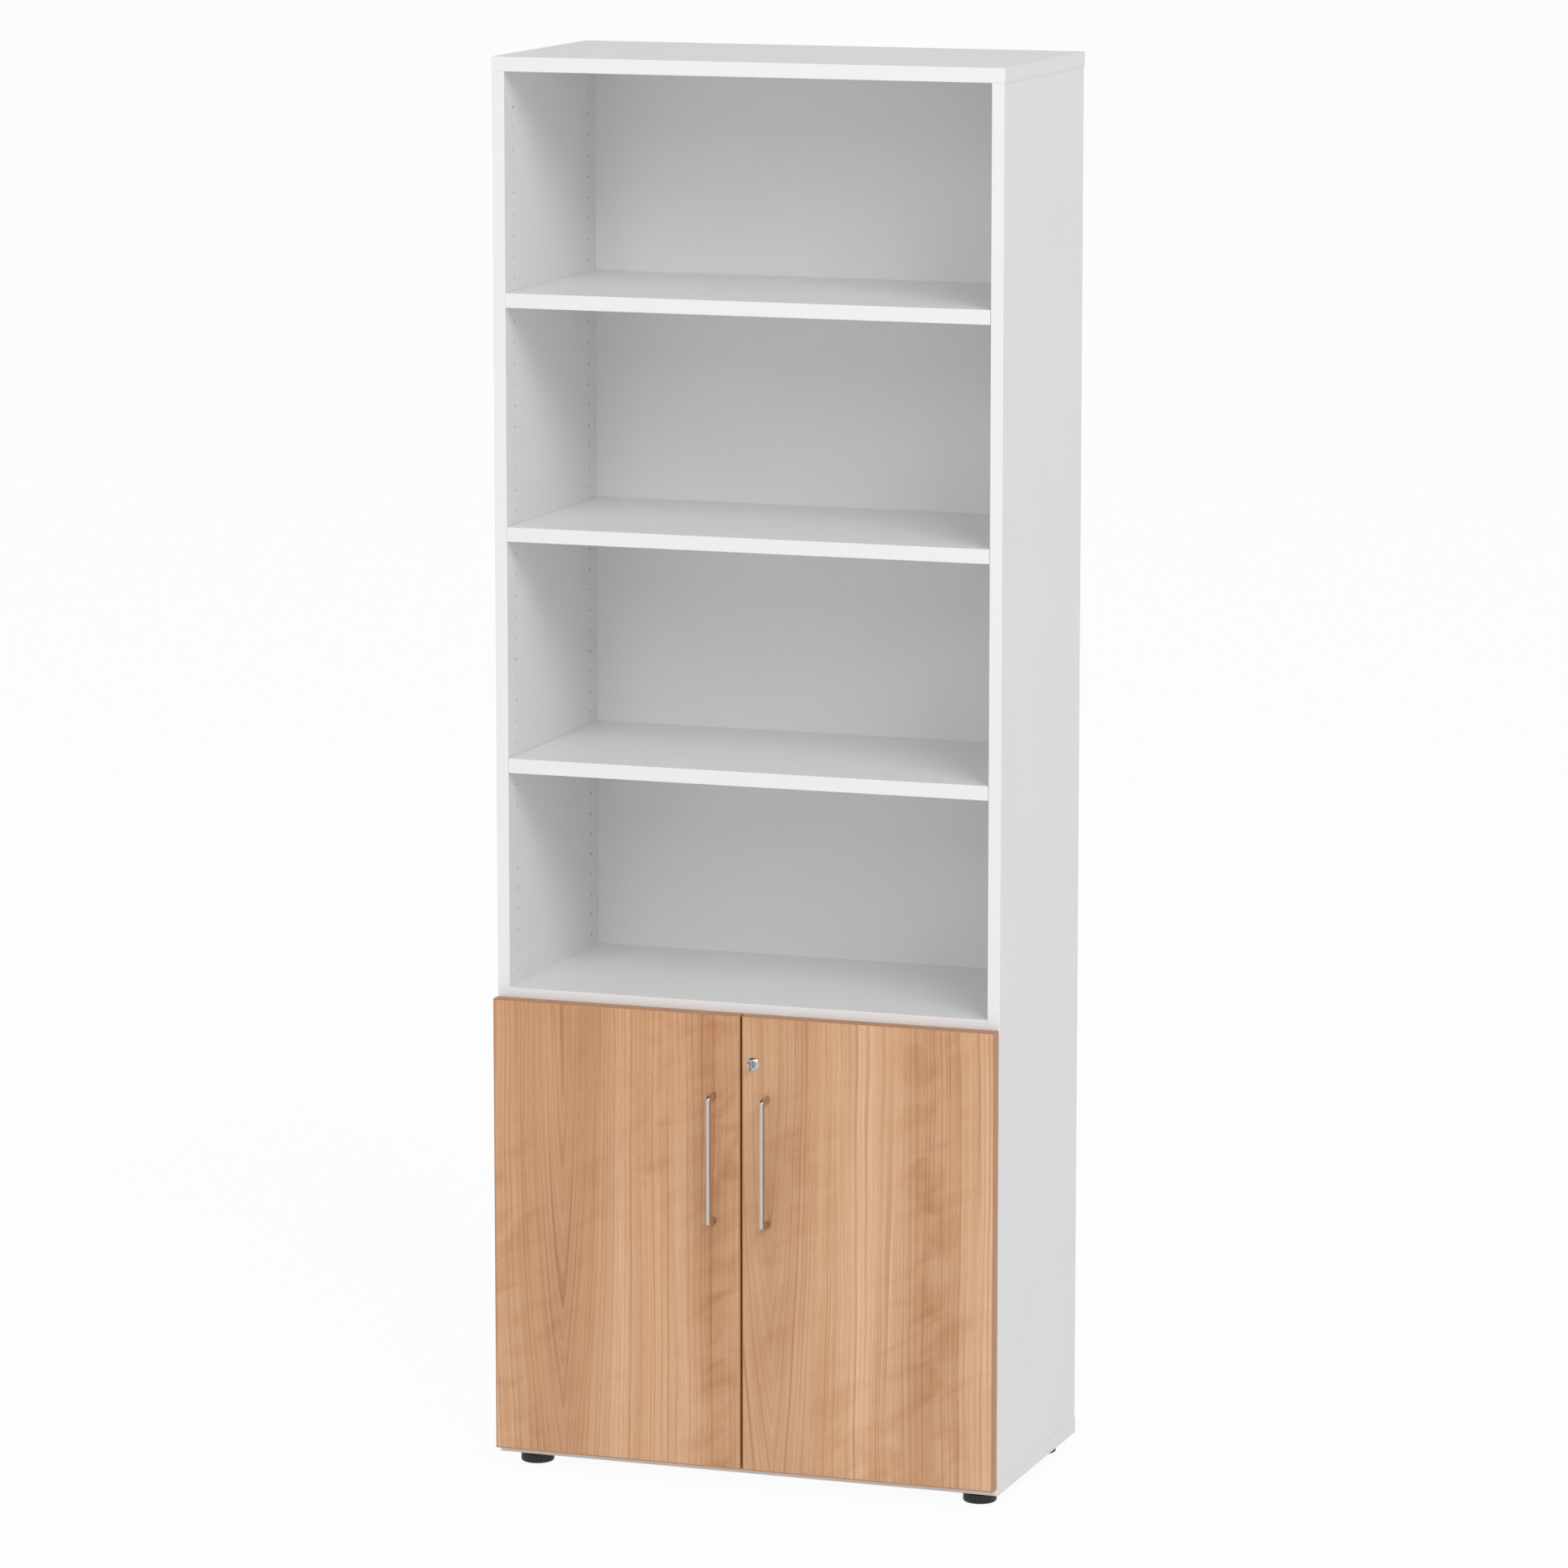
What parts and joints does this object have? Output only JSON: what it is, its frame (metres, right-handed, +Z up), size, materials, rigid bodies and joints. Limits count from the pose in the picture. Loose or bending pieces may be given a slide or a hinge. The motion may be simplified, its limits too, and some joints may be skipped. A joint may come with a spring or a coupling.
{
  "type": "bookcase with cabinet doors",
  "caption": "Tall office bookcase: open shelves above a cabinet with hinged doors, bow handles, a cam lock and levelling feet.",
  "frame": {"origin": "middle of the footprint, on the floor plane under the feet", "axes": "+Z up, +Y towards the back, +X to the right when facing the doors"},
  "size_m": [0.8, 0.45, 2.156],
  "materials": {
    "white_board": "white melamine, fine grain",
    "walnut_decor": "light walnut melamine with a vertical grain",
    "beech": "raw",
    "black_plastic": "matte",
    "white_plastic": "matte",
    "clear_bumper": "soft",
    "satin_steel": "satin",
    "nickel": "nickel-plated",
    "zinc": "zinc-plated",
    "bright_chrome": "polished"
  },
  "bodies": {
    "carcass": {"side_left": "white_board", "side_right": "white_board", "top_panel": "white_board", "bottom_panel": "white_board", "back_panel": "white_board", "fixed_shelf": "white_board", "inner_shelf": "white_board", "shelf_lower": "white_board", "shelf_middle": "white_board", "shelf_upper": "white_board", "bottom_dowels": "beech", "top_dowels": "beech", "fixed_shelf_dowels": "beech", "foot_sleeves": "black_plastic", "foot_caps": "white_plastic", "inner_shelf_pins": "nickel", "shelf_lower_pins": "nickel", "shelf_middle_pins": "nickel", "shelf_upper_pins": "nickel", "hinge_arm_left_lower": "nickel", "hinge_arm_left_upper": "nickel", "hinge_arm_right_lower": "nickel", "hinge_arm_right_upper": "nickel", "hinge_plate_left_lower": "nickel", "hinge_plate_left_upper": "nickel", "hinge_plate_right_lower": "nickel", "hinge_plate_right_upper": "nickel"},
    "left_door": {"door_left": "walnut_decor", "handle_left": "satin_steel", "door_bumpers_left": "clear_bumper", "hinge_cup_left_lower": "nickel", "hinge_cup_left_upper": "nickel", "hinge_pins_left": "zinc", "keeper": "white_plastic", "bolt_guide": "white_plastic"},
    "right_door": {"door_right": "walnut_decor", "handle_right": "satin_steel", "door_bumpers_right": "clear_bumper", "hinge_cup_right_lower": "nickel", "hinge_cup_right_upper": "nickel", "hinge_pins_right": "zinc", "lock_barrel": "bright_chrome", "lock_nut": "zinc"},
    "lock": {"lock_plug": "bright_chrome", "lock_cam": "zinc", "lock_cam_screw": "zinc", "lock_key": "bright_chrome"},
    "bolt": {"slide_bolt": "zinc"},
    "foot_front_left": {"foot_front_left": "black_plastic"},
    "foot_front_right": {"foot_front_right": "black_plastic"},
    "foot_rear_left": {"foot_rear_left": "black_plastic"},
    "foot_rear_right": {"foot_rear_right": "black_plastic"}
  },
  "joints": [
    {"name": "left_door_hinges", "type": "hinge", "parent": "carcass", "child": "left_door", "pos_m": [-0.392, -0.184, 0.383], "axis": [0, 0, -1], "range_deg": [0, 105]},
    {"name": "right_door_hinges", "type": "hinge", "parent": "carcass", "child": "right_door", "pos_m": [0.392, -0.184, 0.383], "axis": [0, 0, 1], "range_deg": [0, 105]},
    {"name": "lock_turn", "type": "hinge", "parent": "right_door", "child": "lock", "pos_m": [0.019, -0.18, 0.661], "axis": [0, 1, 0], "range_deg": [0, 90]},
    {"name": "bolt_slide", "type": "slide", "parent": "left_door", "child": "bolt", "axis": [0, 0, 1], "range_m": [0, 0.01]},
    {"name": "foot_front_left_screw", "type": "slide", "parent": "carcass", "child": "foot_front_left", "axis": [0, 0, -1], "range_m": [0, 0.01]},
    {"name": "foot_front_right_screw", "type": "slide", "parent": "carcass", "child": "foot_front_right", "axis": [0, 0, -1], "range_m": [0, 0.01]},
    {"name": "foot_rear_left_screw", "type": "slide", "parent": "carcass", "child": "foot_rear_left", "axis": [0, 0, -1], "range_m": [0, 0.01]},
    {"name": "foot_rear_right_screw", "type": "slide", "parent": "carcass", "child": "foot_rear_right", "axis": [0, 0, -1], "range_m": [0, 0.01]}
  ]
}
